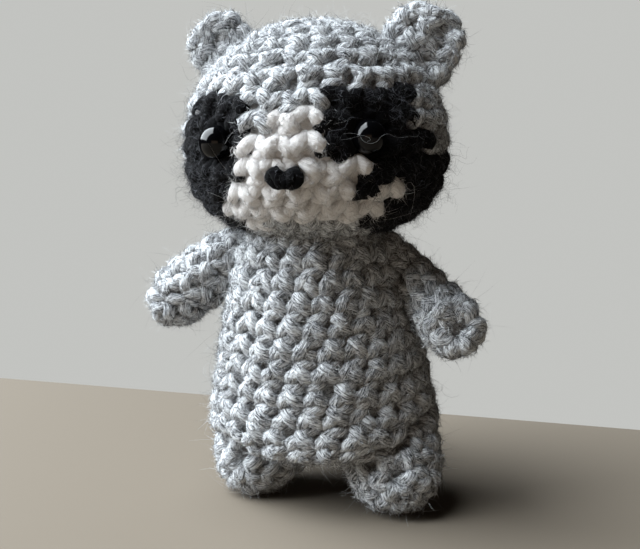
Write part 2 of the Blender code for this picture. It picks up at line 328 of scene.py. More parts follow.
# A form measured for working in the round: how far each share of it lies from the start pole.
# A step round and a step along, seen from outside, turn by the hand: left (1) or right (-1).
def measure(form, fromFoot=False):
    falls = np.linspace(0.0, 1.0, fineness["falls"])
    turns = np.linspace(0, tau, fineness["turns"], endpoint=False)
    grid = form(turns[:, None], falls[None, :])
    steps = np.linalg.norm(np.diff(grid, axis=1), axis=2).mean(axis=0)
    lengths = np.concatenate(([0.0], np.cumsum(steps)))
    belt = form(turns, np.full(len(turns), 0.5))
    nudge, half = fineness["nudge"], np.array([0.5])
    du = form(np.array([nudge]), half) - form(np.array([-nudge]), half)
    dv = form(np.array([0.0]), half + nudge) - form(np.array([0.0]), half - nudge)
    outward = np.sign(np.sum(np.cross(du, dv) * (belt[0] - belt.mean(axis=0))))
    if fromFoot:
        falls, lengths = falls[::-1], (lengths[-1] - lengths)[::-1]
    return {"form": form, "falls": falls, "lengths": lengths, "outward": outward,
            "hand": outward * (-1 if fromFoot else 1), "length": lengths[-1]}


def surfaceAt(work, around, along):
    gap, step, form = fineness["poleGap"], fineness["slope"], work["form"]
    fall = np.clip(np.interp(along, work["lengths"], work["falls"]), gap, 1 - gap)
    du = form(around + step, fall) - form(around - step, fall)
    dv = form(around, fall + step) - form(around, fall - step)
    return form(around, fall), unit(np.cross(du, dv) * work["outward"])


def girth(work, along):
    turns = np.linspace(0, tau, fineness["girth"])
    points = work["form"](turns, np.full(len(turns), np.interp(along, work["lengths"], work["falls"])))
    return np.linalg.norm(np.diff(points, axis=0), axis=1).sum()


# One single crochet: two legs that come out of one hole and part, a long thin one that leans
# forwards and a short thick one that leans back, and the strand of the top chain. Across is in
# stitch widths, along in rounds, and out in millimetres from the form. Halves are half the width
# and half the depth of a strand.
stitch = {
    "longLeg": ((0.02, 0.06, -2.9), (0.10, 0.20, -1.6), (0.24, 0.36, -1.0), (0.43, 0.53, -0.85),
                (0.62, 0.70, -1.05), (0.76, 0.88, -2.6)),
    "shortLeg": ((-0.02, 0.06, -2.9), (-0.10, 0.22, -1.55), (-0.22, 0.39, -0.9), (-0.35, 0.56, -0.7),
                 (-0.46, 0.74, -1.0), (-0.53, 0.94, -2.7)),
    "chain": ((0.28, 0.90, -2.5), (0.48, 0.89, -1.4), (0.74, 0.96, -1.0), (0.98, 1.05, -1.4),
              (1.12, 1.12, -2.6)),
    "longLegHalf": (1.30, 1.08), "shortLegHalf": (1.40, 1.14), "chainHalf": (1.20, 1.0),
    "longLegRings": 11, "shortLegRings": 11, "chainRings": 8, "sides": 8,
    "plyDip": 0.12, "plyMean": 0.6, "twist": 0.45,      # shares of the radius, and radians a millimetre
    "endShare": 0.35, "taper": 0.2,     # how thin the ends get, and over what share of the strand
    "lean": 0.28, "middle": 0.45,       # how far each round starts ahead, and a stitch's mid height
    "wander": 0.08, "depthWander": 0.12, "swell": 0.05, "lump": 0.04,       # uneven hand work
    "fewest": 6, "fewestRounds": 2,
    "streakReach": 1.1, "streakSkip": 400,      # where each strand lies in the streak pattern
}
# where plastic eyes and the nose are seated, the stitches are pressed in and lose their fuzz
seats = {"eye_left": {"radius": 4.0, "press": 2.4}, "eye_right": {"radius": 4.0, "press": 2.4},
         "nose": {"radius": 3.0, "press": 0.7}}
seatEdge = 4        # how sharply the pressing ends
for node, seat in seats.items():
    seat["centre"] = sum(boxOf(node)) / 2


def smoothPath(points, count):
    # an even spline through the points
    points = np.array(points, float)
    padded = np.vstack((2 * points[0] - points[1], points, 2 * points[-1] - points[-2]))
    t = np.linspace(0, len(points) - 1, count)
    i = np.minimum(t.astype(int), len(points) - 2)
    f = (t - i)[:, None]
    a, b, c, d = (padded[i + k] for k in range(4))
    return 0.5 * (2 * b + (c - a) * f + (2 * a - 5 * b + 4 * c - d) * f ** 2
                  + (3 * b - a - 3 * c + d) * f ** 3)


# Every stitch of a form worked in a spiral from its start pole: angle, way along, angular width,
# round height and round number.
def planRounds(work, width, height, phase=0.0):
    rounds = max(stitch["fewestRounds"], int(round(work["length"] / height)))
    height = work["length"] / rounds
    plan = []
    for k in range(rounds):
        far = (k + 1) * height if k < rounds / 2 else k * height        # the round's wider edge
        reach = max(girth(work, (k + 0.5) * height), girth(work, far))
        count = max(stitch["fewest"], int(round(reach / width)))
        phase += stitch["lean"] * tau / count * work["hand"]
        for i in range(count):
            plan.append((phase + work["hand"] * i * tau / count, (k + i / count) * height, tau / count,
                         height, k))
    return np.array(plan)


def middles(work, plan):
    return surfaceAt(work, plan[:, 0], plan[:, 1] + plan[:, 3] * stitch["middle"])[0]


def pressed(point, normal):
    for seat in seats.values():
        gap = np.linalg.norm(point - seat["centre"], axis=-1, keepdims=True)
        point = point - normal * seat["press"] * np.exp(-(gap / seat["radius"]) ** seatEdge)
    return point


def strandPoints(work, plan, path, count, shifts):
    # the path of one strand of every stitch in the plan: places and outward directions
    local = smoothPath(path, count)
    n, wander = len(plan), stitch["wander"]
    across = local[:, 0] * (1 + dice.normal(0, wander, (n, 1))) + dice.normal(0, wander / 2, (n, 1))
    along = local[:, 1] * (1 + dice.normal(0, wander, (n, 1))) + shifts[:, None]
    out = local[:, 2] + dice.normal(0, stitch["depthWander"], (n, 1))
    around = plan[:, 0, None] + work["hand"] * across * plan[:, 2, None]
    reach = np.clip(plan[:, 1, None] + along * plan[:, 3, None], 0, work["length"])
    point, normal = surfaceAt(work, around, reach)
    return pressed(point + normal * out[..., None], normal), normal


# Twisted four-ply strands along many paths at once.
def tubes(paths, outs, half):
    n, m, _ = paths.shape
    sides, endShare = stitch["sides"], stitch["endShare"]
    ahead = unit(np.gradient(paths, axis=1))
    aside = unit(np.cross(outs, ahead))
    upward = np.cross(ahead, aside)
    steps = np.linalg.norm(np.diff(paths, axis=1), axis=2)
    along = np.concatenate((np.zeros((n, 1)), np.cumsum(steps, axis=1)), axis=1)
    ply = np.arange(sides) / sides * tau
    lobes = 1 + stitch["plyDip"] * (np.abs(np.sin(2 * ply)) - stitch["plyMean"])
    turn = ply - stitch["twist"] * along[..., None] + dice.uniform(0, tau, (n, 1, 1))
    t = np.linspace(0, 1, m)
    fromEnd = np.clip(np.minimum(t, 1 - t) / stitch["taper"], 0, 1)
    taper = endShare + (1 - endShare) * np.sin(fromEnd * pi / 2)
    swell = (1 + dice.normal(0, stitch["swell"], (n, 1))) * taper
    reach = lobes * swell[..., None] * (1 + dice.normal(0, stitch["lump"], (n, m, sides)))
    points = paths[:, :, None, :] + aside[:, :, None, :] * (np.cos(turn) * half[0] * reach)[..., None] \
        + upward[:, :, None, :] * (np.sin(turn) * half[1] * reach)[..., None]
    points[..., 2] = np.maximum(points[..., 2], 0.0)
    skip, wide = dice.uniform(0, stitch["streakSkip"], (n, 1, 1)), stitch["streakReach"]
    strand = stack(along[..., None] + skip, wide * np.cos(ply), wide * np.sin(ply))
    return {"points": points, "strand": strand, "centre": paths, "ahead": ahead, "outs": outs}


tubePads = {"side": 0.04, "hub": 0.02}      # shares of a map cell


def tubeMesh(bundles):
    # joins bundles of tubes into one set of arrays, each tube closed at both ends and in a cell
    # of its own on the map
    points, strands, faces, uvs = [], [], [], []
    base = cell = 0
    grid = ceil(sqrt(sum(len(bundle["points"]) for bundle in bundles)))
    pad = tubePads["side"]

    def onMap(tube, corners):
        column, row = (cell + tube) % grid, (cell + tube) // grid
        return np.stack([np.stack((column + u, row + v), -1) / grid for u, v in corners], -2)

    for bundle in bundles:
        n, m, k, _ = bundle["points"].shape
        for store, values in ((points, bundle["points"]), (strands, bundle["strand"])):
            store += [values.reshape(-1, 3), values[:, (0, -1)].mean(axis=2).reshape(-1, 3)]
        tube, ring, side = np.meshgrid(np.arange(n), np.arange(m - 1), np.arange(k), indexing="ij")
        after = (side + 1) % k
        start = base + tube * m * k + ring * k
        quads = np.stack((start + side, start + after, start + k + after, start + k + side), -1)
        faces.append(quads.reshape(-1, 4))
        u0, u1 = inset(ring / (m - 1), pad), inset((ring + 1) / (m - 1), pad)
        v0, v1 = inset(side / k, pad), inset((side + 1) / k, pad)
        uvs.append(onMap(tube, ((u0, v0), (u0, v1), (u1, v1), (u1, v0))).reshape(-1, 2))
        tube, side = np.meshgrid(np.arange(n), np.arange(k), indexing="ij")
        after = (side + 1) % k
        first, hub = base + tube * m * k, base + n * m * k + tube * 2
        v0, v1 = inset(side / k, pad), inset((side + 1) / k, pad)
        for end, ring, order in ((0, first, (0, 2, 1)), (1, first + (m - 1) * k, (0, 1, 2))):
            fan = np.stack((hub + end, ring + side, ring + after), -1)[..., order]
            edge = inset(end, pad)
            corners = ((inset(end, tubePads["hub"]), (v0 + v1) / 2), (edge, v0), (edge, v1))
            faces.append(fan.reshape(-1, 3))
            uvs.append(onMap(tube, corners)[..., order, :].reshape(-1, 2))
        base += n * m * k + n * 2
        cell += n
    return np.concatenate(points), np.concatenate(strands), faces, np.concatenate(uvs)


def capped(rings, sides):
    # quads between rings of points, and a fan to a hub at each end; the hubs come after the rings
    ring, side = np.meshgrid(np.arange(rings - 1), np.arange(sides), indexing="ij")
    after = (side + 1) % sides
    start = ring * sides
    quads = np.stack((start + side, start + after, start + sides + after, start + sides + side), -1)
    side, hub = np.arange(sides), sides * rings
    after = (side + 1) % sides
    last = hub - sides
    fans = [np.stack((np.full(sides, hub), after, side), -1),
            np.stack((np.full(sides, hub + 1), last + side, last + after), -1)]
    return quads.reshape(-1, 4), np.concatenate(fans)


def addMesh(name, points, faces, uvs, attributes, materials, slots=None):
    mesh = bpy.data.meshes.new(name)
    mesh.vertices.add(len(points))
    mesh.vertices.foreach_set("co", (points * mm).astype(np.float32).ravel())
    loops = np.concatenate([f.ravel() for f in faces])
    totals = np.concatenate([np.full(len(f), f.shape[1]) for f in faces])
    mesh.loops.add(len(loops))
    mesh.loops.foreach_set("vertex_index", loops.astype(np.int32))
    mesh.polygons.add(len(totals))
    mesh.polygons.foreach_set("loop_start", (np.cumsum(totals) - totals).astype(np.int32))
    mesh.update(calc_edges=True)
    mesh.uv_layers.new(name="OFBake").uv.foreach_set("vector", uvs.astype(np.float32).ravel())
    for key, values in attributes.items():
        kind, field = ("FLOAT_VECTOR", "vector") if values.ndim == 2 else ("FLOAT", "value")
        mesh.attributes.new(key, kind, "POINT").data.foreach_set(field, values.astype(np.float32).ravel())
    for item in materials:
        mesh.materials.append(item)
    if slots is not None:
        mesh.polygons.foreach_set("material_index", slots.astype(np.int32))
    mesh.polygons.foreach_set("use_smooth", np.ones(len(totals), bool))
    mesh.update()
    made = bpy.data.objects.new(name, mesh)
    bpy.context.scene.collection.objects.link(made)
    return made


def finishPiece(piece, nodes):
    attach(piece, "root")
    if nodes:
        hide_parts(*nodes)


def stitchBundles(work, plan, plump, topped):
    shifts = dice.normal(0, stitch["wander"], len(plan))
    bundles = []
    for part in ("longLeg", "shortLeg", "chain"):
        drawn = topped if part == "chain" else np.ones(len(plan), bool)
        paths, outs = strandPoints(work, plan[drawn], stitch[part], stitch[part + "Rings"], shifts[drawn])
        half = [size * plump for size in stitch[part + "Half"]]
        bundles.append(tubes(paths, outs, half))
    return bundles


# Fibres teased out of the yarn: a felt of short ones lies over the plies, loose ones stand off as
# a halo, and a few long ones coil. Real ones are 0.02 mm thick, too fine to show, so most are
# drawn two to seven times as thick. Share is of the fibres a stitch has, and most is how many one
# piece may hold. Lift is how far they stand up, spread how far they stray from the strand's own
# way, hug how closely they follow its roundness, coil the radius of their turns, and darker
# scales how many are dark.
fuzz = {
    "lying": {"share": 1.0, "length": (0.7, 2.0), "power": 1.0, "radius": (0.028, 0.070),
              "lift": (0.0, 0.25), "spread": 1.2, "curl": 1.3, "hug": 0.06, "coil": 0.0,
              "darker": 1.0, "rings": 1, "most": 30000},
    "loose": {"share": 0.12, "length": (1.0, 4.6), "power": 1.8, "radius": (0.014, 0.026),
              "lift": (0.1, 1.0), "spread": 1.0, "curl": 2.6, "hug": 0.0, "coil": 0.0,
              "darker": 1.0, "rings": 4, "most": 8000},
    "coiled": {"share": 0.015, "length": (3.0, 7.0), "power": 1.2, "radius": (0.018, 0.030),
               "lift": (0.2, 0.9), "spread": 1.2, "curl": 0.8, "hug": 0.0, "coil": 0.9, "turns": 1.6,
               "darker": 0.7, "rings": 10, "most": 4000},
}
# Spare is how many roots are tried for each one wanted, as those that face inwards are dropped;
# sunk is how deep a root sits, and tip the share of its radius that a fibre keeps.
fibre = {"spare": 2.6, "sunk": 0.02, "tip": 0.5, "seatGap": 0.2, "lowest": 0.01, "fewest": 20,
         "darkTones": (0.0, 0.2), "paleTones": (0.3, 1.0), "roughness": 0.8, "specular": 0.3,
         "mapPad": 0.02, "patch": 0.003}
# Single acrylic fibres, spun and teased loose: dull hairs, dark and pale mixed, that blur the
# stitches and rim them with light. Each is how many a stitch has, and coiled scales the coiled ones.
fuzzTones = {
    "grey": {"name": "heatherAcrylicFibreTeased", "dark": "#0E0F11", "pale": "#E8EBEE", "sheen": 0.2,
             "each": 175, "darkShare": 0.46, "thick": 1.0, "coiled": 0.15},
    "black": {"name": "blackAcrylicFibreTeased", "dark": "#030304", "pale": "#6A6C73", "sheen": 0.02,
              "each": 190, "darkShare": 0.82, "thick": 0.75, "coiled": 3.0},
    "white": {"name": "whiteAcrylicFibreTeased", "dark": "#A5A19E", "pale": "#FAFAFB", "sheen": 0.3,
              "each": 260, "darkShare": 0.3, "thick": 0.7, "coiled": 0.3},
}


def makeFibre(look):
    made, tree = newMaterial(look["name"])
    tone = addNode(tree, "ShaderNodeAttribute", {"attribute_name": "tone"})
    ramp = addNode(tree, "ShaderNodeValToRGB", {}, {"Fac": tone.outputs["Fac"]})
    for stop, key in zip(ramp.color_ramp.elements, ("dark", "pale")):
        stop.color = hexToLinear(look[key])
    shader = addNode(tree, "ShaderNodeBsdfPrincipled",
                     {"Roughness": fibre["roughness"], "Sheen Weight": look["sheen"],
                      "Specular IOR Level": fibre["specular"]},
                     {"Base Color": ramp.outputs["Color"]})
    addNode(tree, "ShaderNodeOutputMaterial", {}, {"Surface": shader.outputs[0]})
    return made


fibreOf = {colour: makeFibre(look) for colour, look in fuzzTones.items()}


def addThreads(name, paths, radius, colour, tones):
    # three-sided threads that start and end in a point; each is a small patch of the map at its
    # root's place round and up the piece
    n, m, _ = paths.shape
    heading = unit(np.gradient(paths, axis=1))[:, 1:-1]
    aside = unit(np.cross(heading, unit(dice.normal(0, 1, (n, 1, 3)))))
    upward = np.cross(heading, aside)
    turns = (np.arange(3) / 3 * tau)[:, None]
    spokes = aside[:, :, None, :] * np.cos(turns) + upward[:, :, None, :] * np.sin(turns)
    body = paths[:, 1:-1, None, :] + spokes * radius[..., None, None]
    points = np.concatenate((paths[:, :1], body.reshape(n, -1, 3), paths[:, -1:]), axis=1)
    points[..., 2] = np.maximum(points[..., 2], fibre["lowest"])
    per, rings = points.shape[1], m - 2
    faces = []
    for side in range(3):
        after = (side + 1) % 3
        faces.append((0, 1 + after, 1 + side))
        for ring in range(rings - 1):
            a, b = 1 + ring * 3 + side, 1 + ring * 3 + after
            faces += [(a, b, b + 3), (a, b + 3, a + 3)]
        top = 1 + (rings - 1) * 3
        faces.append((top + side, top + after, per - 1))
    faces = (np.arange(n)[:, None, None] * per + np.array(faces)[None]).reshape(-1, 3)
    root = paths[:, 0]
    low, high = root.min(axis=0), root.max(axis=0)
    east, north, _ = (root - (low + high) / 2).T
    u = inset(np.arctan2(north, east) / tau + 0.5, fibre["mapPad"])
    v = inset((root[:, 2] - low[2]) / max(high[2] - low[2], 0.1), fibre["mapPad"])
    half = fibre["patch"] / 2
    patch = np.stack((u, v), axis=-1)[:, None] + dice.uniform(-half, half, (1, per, 2))
    uvs = patch.reshape(-1, 2)[faces.ravel()]
    tones = {"tone": np.repeat(tones, per)}
    piece = addMesh(name, points.reshape(-1, 3), [faces], uvs, tones, [fibreOf[colour]])
    finishPiece(piece, ())


def fibreTones(colour, n, darker):
    # each yarn mixes dark fibres with pale ones
    dark = dice.random(n) < fuzzTones[colour]["darkShare"] * darker
    return np.where(dark, dice.uniform(*fibre["darkTones"], n), dice.uniform(*fibre["paleTones"], n))


def addFuzz(name, bundles, count, colour, kind):
    look = fuzz[kind]
    clearOf = [seat for node, seat in seats.items() if node not in name]
    roots, outs, lies = [], [], []
    weights = np.array([b["points"].shape[0] * b["points"].shape[1] for b in bundles], float)
    for bundle, share in zip(bundles, weights / weights.sum()):
        n, m, k, _ = bundle["points"].shape
        size = int(count * share * fibre["spare"])
        tube, side = dice.integers(0, n, size), dice.integers(0, k, size)
        ring, slide = dice.integers(1, m - 2, size), dice.random((size, 1))
        centre = bundle["centre"][tube, ring] * (1 - slide) + bundle["centre"][tube, ring + 1] * slide
        root = bundle["points"][tube, ring, side] * (1 - slide) \
            + bundle["points"][tube, ring + 1, side] * slide
        out = unit(root - centre)
        keep = np.sum(out * bundle["outs"][tube, ring], axis=1) > 0.0
        for seat in clearOf:
            keep &= np.linalg.norm(root - seat["centre"], axis=1) > seat["radius"]
        roots.append(root[keep])
        outs.append(out[keep])
        lies.append((bundle["ahead"][tube, ring] * dice.choice((-1.0, 1.0), size)[:, None])[keep])
    root, out, lie = np.concatenate(roots), np.concatenate(outs), np.concatenate(lies)
    chosen = dice.permutation(len(root))[:count]
    root, out, lie = root[chosen], out[chosen], lie[chosen]
    n, rings = len(root), look["rings"]
    low, high = look["length"]
    length = low + (high - low) * dice.random(n) ** look["power"]
    heading = unit(out * dice.uniform(*look["lift"], (n, 1)) + lie
                   + np.cross(out, lie) * dice.normal(0, look["spread"], (n, 1)))
    bend = np.cross(heading, dice.normal(0, 1, (n, 3))) * look["curl"]
    t = np.linspace(0, 1, rings + 2)[None, :, None]
    path = root[:, None] - out[:, None] * fibre["sunk"] + length[:, None, None] * (
        heading[:, None] * t + bend[:, None] * (t ** 2 - t * 0.5) * 0.5)
    path -= out[:, None] * look["hug"] * (length[:, None, None] * t) ** 2
    if look["coil"]:
        phase = tau * (look["turns"] * t + dice.random((n, 1, 1)))
        aside = unit(np.cross(heading, out))[:, None]
        upward = np.cross(heading, aside[:, 0])[:, None]
        opened = look["coil"] * np.minimum(t * 3, 1)        # over the first third of its way
        path += (aside * np.cos(phase) + upward * np.sin(phase)) * opened
    radius = dice.uniform(*look["radius"], (n, 1)) * fuzzTones[colour]["thick"]
    radius = radius * np.linspace(1.0, fibre["tip"], rings)
    clear = np.ones(n, bool)
    for seat in clearOf:
        gap = np.linalg.norm(path - seat["centre"], axis=-1).min(axis=1)
        clear &= gap > seat["radius"] + fibre["seatGap"]
    tones = fibreTones(colour, n, look["darker"])
    addThreads(name, path[clear], radius[clear], colour, tones[clear])


# the stuffed inside that closes the gaps between the stitches, coloured like the nearest stitch;
# depths are below the form, one for each yarn
lining = {"sides": 48, "rings": 36, "poleGap": 0.6, "lowest": 0.4, "mapPad": 0.02, "streakScale": 1.7}


def addLining(name, work, plan, yarnIndex, depths):
    sides, rings = lining["sides"], lining["rings"]
    turns = np.arange(sides) / sides * tau
    reach = np.linspace(lining["poleGap"], work["length"] - lining["poleGap"], rings)
    point, normal = surfaceAt(work, turns[None, :], reach[:, None])
    middle = middles(work, plan)
    nearest = np.linalg.norm(point[:, :, None] - middle, axis=-1).argmin(axis=-1)
    point = pressed(point - normal * np.array(depths)[yarnIndex[nearest]][..., None], normal)
    point[..., 2] = np.maximum(point[..., 2], lining["lowest"])
    points = np.concatenate((point.reshape(-1, 3), (point[0].mean(axis=0), point[-1].mean(axis=0))))
    quads, fans = capped(rings, sides)
    if work["hand"] < 0:
        quads, fans = quads[:, ::-1], fans[:, ::-1]
    levels = np.linspace(lining["mapPad"], 1 - lining["mapPad"], rings)
    u = np.concatenate([np.tile(turns / tau, rings), (0.5, 0.5)])
    v = np.concatenate([np.repeat(levels, sides), (0.0, 1.0)])
    faces = [quads, fans]
    uvs = np.concatenate([np.stack((u[f.ravel()], v[f.ravel()]), -1) for f in faces])
    centres = np.concatenate([points[f].mean(axis=1) for f in faces])
    nearest = np.linalg.norm(centres[:, None] - middle, axis=-1).argmin(axis=-1)
    used = sorted(set(yarnIndex))
    slots = np.searchsorted(used, yarnIndex[nearest])
    piece = addMesh(name, points, faces, uvs, {"strand": points * lining["streakScale"]},
                    [yarnOf[colours[i]] for i in used], slots)
    finishPiece(piece, ())


def crochet(name, work, plan, colour, nodes, topped=None):
    if topped is None:
        topped = np.ones(len(plan), bool)
    bundles = stitchBundles(work, plan, yarns[colour]["plump"], topped)
    points, strands, faces, uvs = tubeMesh(bundles)
    piece = addMesh(name + "_yarn", points, faces, uvs, {"strand": strands}, [yarnOf[colour]])
    finishPiece(piece, nodes)
    tones = fuzzTones[colour]
    for kind, look in fuzz.items():
        wanted = int(int(len(plan) * tones["each"] * look["share"]) * tones.get(kind, 1))
        lots = ceil(wanted / look["most"]) if wanted >= fibre["fewest"] else 0
        for lot in range(lots):
            addFuzz(f"{name}_{kind}_fibres_{lot + 1}", bundles, wanted // lots, colour, kind)
    print(name, len(plan), "stitches")


# Worked from the crown. Stitches that lie deeper than sunk inside the piece next to them are left
# out. The face's colour changes, round by round, lie between bearings in degrees from the middle
# of the face, the toy's own left positive. All the rest is grey.
head = {"width": 5.0, "height": 4.48, "start": radians(60), "sunk": 0.16, "fill": 0.9,
        "lining": (2.1, 2.0, 1.1)}
facePattern = {
    6: (("black", -55, -20), ("black", 15, 61)),
    7: (("black", -66, -19), ("white", -8, 12), ("black", 15, 60)),
    8: (("black", -76, -19), ("white", -19, 14), ("black", 14, 70)),
    9: (("black", -96, -22), ("white", -22, 33), ("black", 33, 104)),
    10: (("black", -98, -28), ("white", -28, 28), ("black", 28, 39), ("white", 39, 51),
         ("black", 51, 102)),
    11: (("black", -95, -40), ("white", -40, 44), ("black", 44, 98)),
    12: (("black", -88, -30), ("white", -30, -18), ("black", 36, 90)),
    13: (("black", 55, 84), ("black", -80, -50)),
}


def yarnsOnHead(plan, middle):
    own = turned(middle - toyMiddle, -headShape["turn"])
    bearing = np.degrees(np.arctan2(own[:, 0], -own[:, 1]))
    picked = np.zeros(len(plan), int)
    for k, spans in facePattern.items():
        for colour, start, end in spans:
            picked[(plan[:, 4] == k) & (bearing > start) & (bearing < end)] = colours.index(colour)
    return picked, bearing


work = measure(headForm)
plan = planRounds(work, head["width"], head["height"], head["start"])
plan = plan[insideTrunk(middles(work, plan)) < head["sunk"]]
picked, bearing = yarnsOnHead(plan, middles(work, plan))
# a stitch's top strand lies over the next stitch, so it is tucked away where the colour changes
topped = np.append(picked[1:] == picked[:-1], True)
for name, colour, chosen in (("head", "grey", picked == 0),
                             ("mask_left", "black", (picked == 1) & (bearing > 0)),
                             ("mask_right", "black", (picked == 1) & (bearing < 0)),
                             ("muzzle", "white", picked == 2)):
    crochet(name, work, plan[chosen], colour, [name], topped[chosen])
addLining("head_lining", work, plan, picked, head["lining"])

# worked from the seat up; the legs' depth is in millimetres
trunk = {"width": 4.85, "height": 4.4, "start": radians(180), "sunk": 0.08, "sunkInLegs": -0.6,
         "fill": 0.9, "lining": (2.2,)}
work = measure(trunkForm, fromFoot=True)
plan = planRounds(work, trunk["width"], trunk["height"], trunk["start"])
middle = middles(work, plan)
clear = insideHead(middle) < trunk["sunk"]
for leg in ("leg_left", "leg_right"):
    clear &= insideLimb(middle, limbShapes[leg]) < trunk["sunkInLegs"]
plan = plan[clear]
crochet("trunk", work, plan, "grey", ["trunk"])
addLining("trunk_lining", work, plan, np.zeros(len(plan), int), trunk["lining"])

# worked from their tips, the tail in stripes: these rounds of it are black
limb = {"width": 4.6, "height": 4.2, "sunk": 0.04, "sunkInHead": 0.02, "fill": 0.9,
        "lining": (2.4, 2.2), "tailRings": (0, 1, 4, 5, 8, 9)}
for name, shape in limbShapes.items():
    work = measure(limbForm(shape))
    plan = planRounds(work, limb["width"], limb["height"])
    middle = middles(work, plan)
    plan = plan[(insideTrunk(middle) < limb["sunk"]) & (insideHead(middle) < limb["sunkInHead"])]
    black = np.isin(plan[:, 4], limb["tailRings"]) & (name == "tail")
    crochet(name, work, plan[~black], "grey", [name])
    if black.any():
        crochet("tail_rings", work, plan[black], "black", [])
    addLining(name + "_lining", work, plan, black.astype(int), limb["lining"])

# worked from their upper edge, and hardly stuffed
ear = {"width": 4.4, "height": 4.0, "sunk": 0.03, "fill": 0.3, "lining": (1.7,)}
for name, shape in earShapes.items():
    work = measure(earForm(shape))
    plan = planRounds(work, ear["width"], ear["height"])
    plan = plan[insideHead(middles(work, plan)) < ear["sunk"]]
    crochet(name, work, plan, "grey", [name])
    addLining(name + "_lining", work, plan, np.zeros(len(plan), int), ear["lining"])


# A place on the face: its middle, and the directions across, up and out of the head.
def faceFrame(node):
    centre = sum(boxOf(node)) / 2
    out = unit((centre - toyMiddle) * (1, 1, 0))
    return centre, np.cross((0, 0, 1), out), np.array((0.0, 0.0, 1.0)), out


def onFace(node, local):
    centre, across, upward, out = faceFrame(node)
    return centre + local[:, :1] * across + local[:, 1:2] * upward + local[:, 2:] * out


# Safety eyes, injection-moulded black polystyrene, polished: a deep, sharp gloss. Height and back
# are how far the dome rises before its widest ring and falls behind it.
eyeLook = {"radius": 3.1, "height": 3.3, "back": 0.8, "power": 0.9, "segments": 56, "rings": 28,
           "colour": "#040405", "roughness": (0.05, 0.12), "ior": 1.55, "specular": 0.2,
           "grain": 0.9, "grainDetail": 2.0}
plastic, tree = newMaterial("blackPolystyrenePolished")
spot = addNode(tree, "ShaderNodeTexCoord")
grain = addNode(tree, "ShaderNodeTexNoise",
                {"Scale": 1 / (eyeLook["grain"] * mm), "Detail": eyeLook["grainDetail"]},
                {"Vector": spot.outputs["Object"]})
scuff = addNode(tree, "ShaderNodeMapRange",
                {"To Min": eyeLook["roughness"][0], "To Max": eyeLook["roughness"][1]},
                {"Value": grain.outputs[0]})
shader = addNode(tree, "ShaderNodeBsdfPrincipled",
                 {"Base Color": hexToLinear(eyeLook["colour"]), "IOR": eyeLook["ior"],
                  "Specular IOR Level": eyeLook["specular"]},
                 {"Roughness": scuff.outputs[0]})
addNode(tree, "ShaderNodeOutputMaterial", {}, {"Surface": shader.outputs[0]})
# the dome's front and back each have half of the map
eyeMap = {"front": 0.25, "back": 0.75, "halfWidth": 0.23, "halfHeight": 0.46}


def addEye(node):
    centre, across, upward, out = faceFrame(node)
    sides, rings = eyeLook["segments"], eyeLook["rings"] - 1
    tilt = np.linspace(0, pi, rings + 2)[1:-1, None]
    around = (np.arange(sides) / sides * tau)[None, :]
    reach = eyeLook["radius"] * power(np.sin(tilt), eyeLook["power"])
    depth = np.where(tilt < pi / 2, eyeLook["height"], eyeLook["back"])
    rise = power(np.cos(tilt), eyeLook["power"]) * depth
    dome = (reach * np.cos(around))[..., None] * across + (reach * np.sin(around))[..., None] * upward \
        + rise[..., None] * out
    points = np.concatenate((dome.reshape(-1, 3), (out * eyeLook["height"], -out * eyeLook["back"])))
    base = centre - (points.min(axis=0) + points.max(axis=0)) / 2      # fills the solid's own box
    points = points + base
    quads, fans = capped(rings, sides)
    faces = [quads[:, (0, 3, 2, 1)], fans[:, (0, 2, 1)]]
    flat = (points - base) @ np.stack((across, upward), -1) / eyeLook["radius"]
    front = (points - base) @ out > 0
    u = np.where(front, eyeMap["front"], eyeMap["back"]) + flat[:, 0] * eyeMap["halfWidth"]
    v = 0.5 + flat[:, 1] * eyeMap["halfHeight"]
    uvs = np.concatenate([np.stack((u[f.ravel()], v[f.ravel()]), -1) for f in faces])
    piece = addMesh(node + "_dome", points, faces, uvs, {}, [plastic])
    finishPiece(piece, [node])


for node in ("eye_left", "eye_right"):
    addEye(node)

# The nose: wraps of black yarn that fan out from one low point and curl over into two lobes;
# across, up and out of the face in millimetres, for one side
noseLook = {"outer": ((0.3, -1.6, -1.2), (-1.4, -1.5, 0.2), (-2.6, -0.5, 0.3), (-2.45, 0.5, 0.5),
                      (-1.5, 0.8, 0.5), (-0.65, 0.2, -0.2), (-0.3, -0.5, -1.2)),
            "inner": ((0.1, -1.6, -1.2), (-0.7, -1.3, 0.6), (-1.1, -0.5, 0.9), (-1.6, 0.1, 0.9),
                      (-1.8, 0.8, 0.1), (-1.8, 1.1, -0.8), (-1.8, 1.2, -1.4)),
            "middle": ((0.0, -1.8, -1.2), (0.0, -1.45, 0.5), (0.0, -0.8, 0.8), (0.0, -0.25, 0.3),
                       (0.0, 0.0, -0.4), (0.0, 0.1, -0.9), (0.0, 0.1, -1.4)),
            "half": (0.85, 0.85), "rings": 16, "fuzz": 150}
out = faceFrame("nose")[-1]
paths = []
for strand, sides in (("outer", (1, -1)), ("inner", (1, -1)), ("middle", (1,))):
    for side in sides:
        local = smoothPath(np.array(noseLook[strand]) * (side, 1, 1), noseLook["rings"])
        paths.append(onFace("nose", local))
outs = np.broadcast_to(out, (len(paths), noseLook["rings"], 3))
bundle = tubes(np.array(paths), outs, noseLook["half"])
points, strands, faces, uvs = tubeMesh([bundle])
nose = addMesh("nose_yarn", points, faces, uvs, {"strand": strands}, [yarnOf["black"]])
finishPiece(nose, ["nose"])
addFuzz("nose_fibres", [bundle], noseLook["fuzz"], "black", "lying")

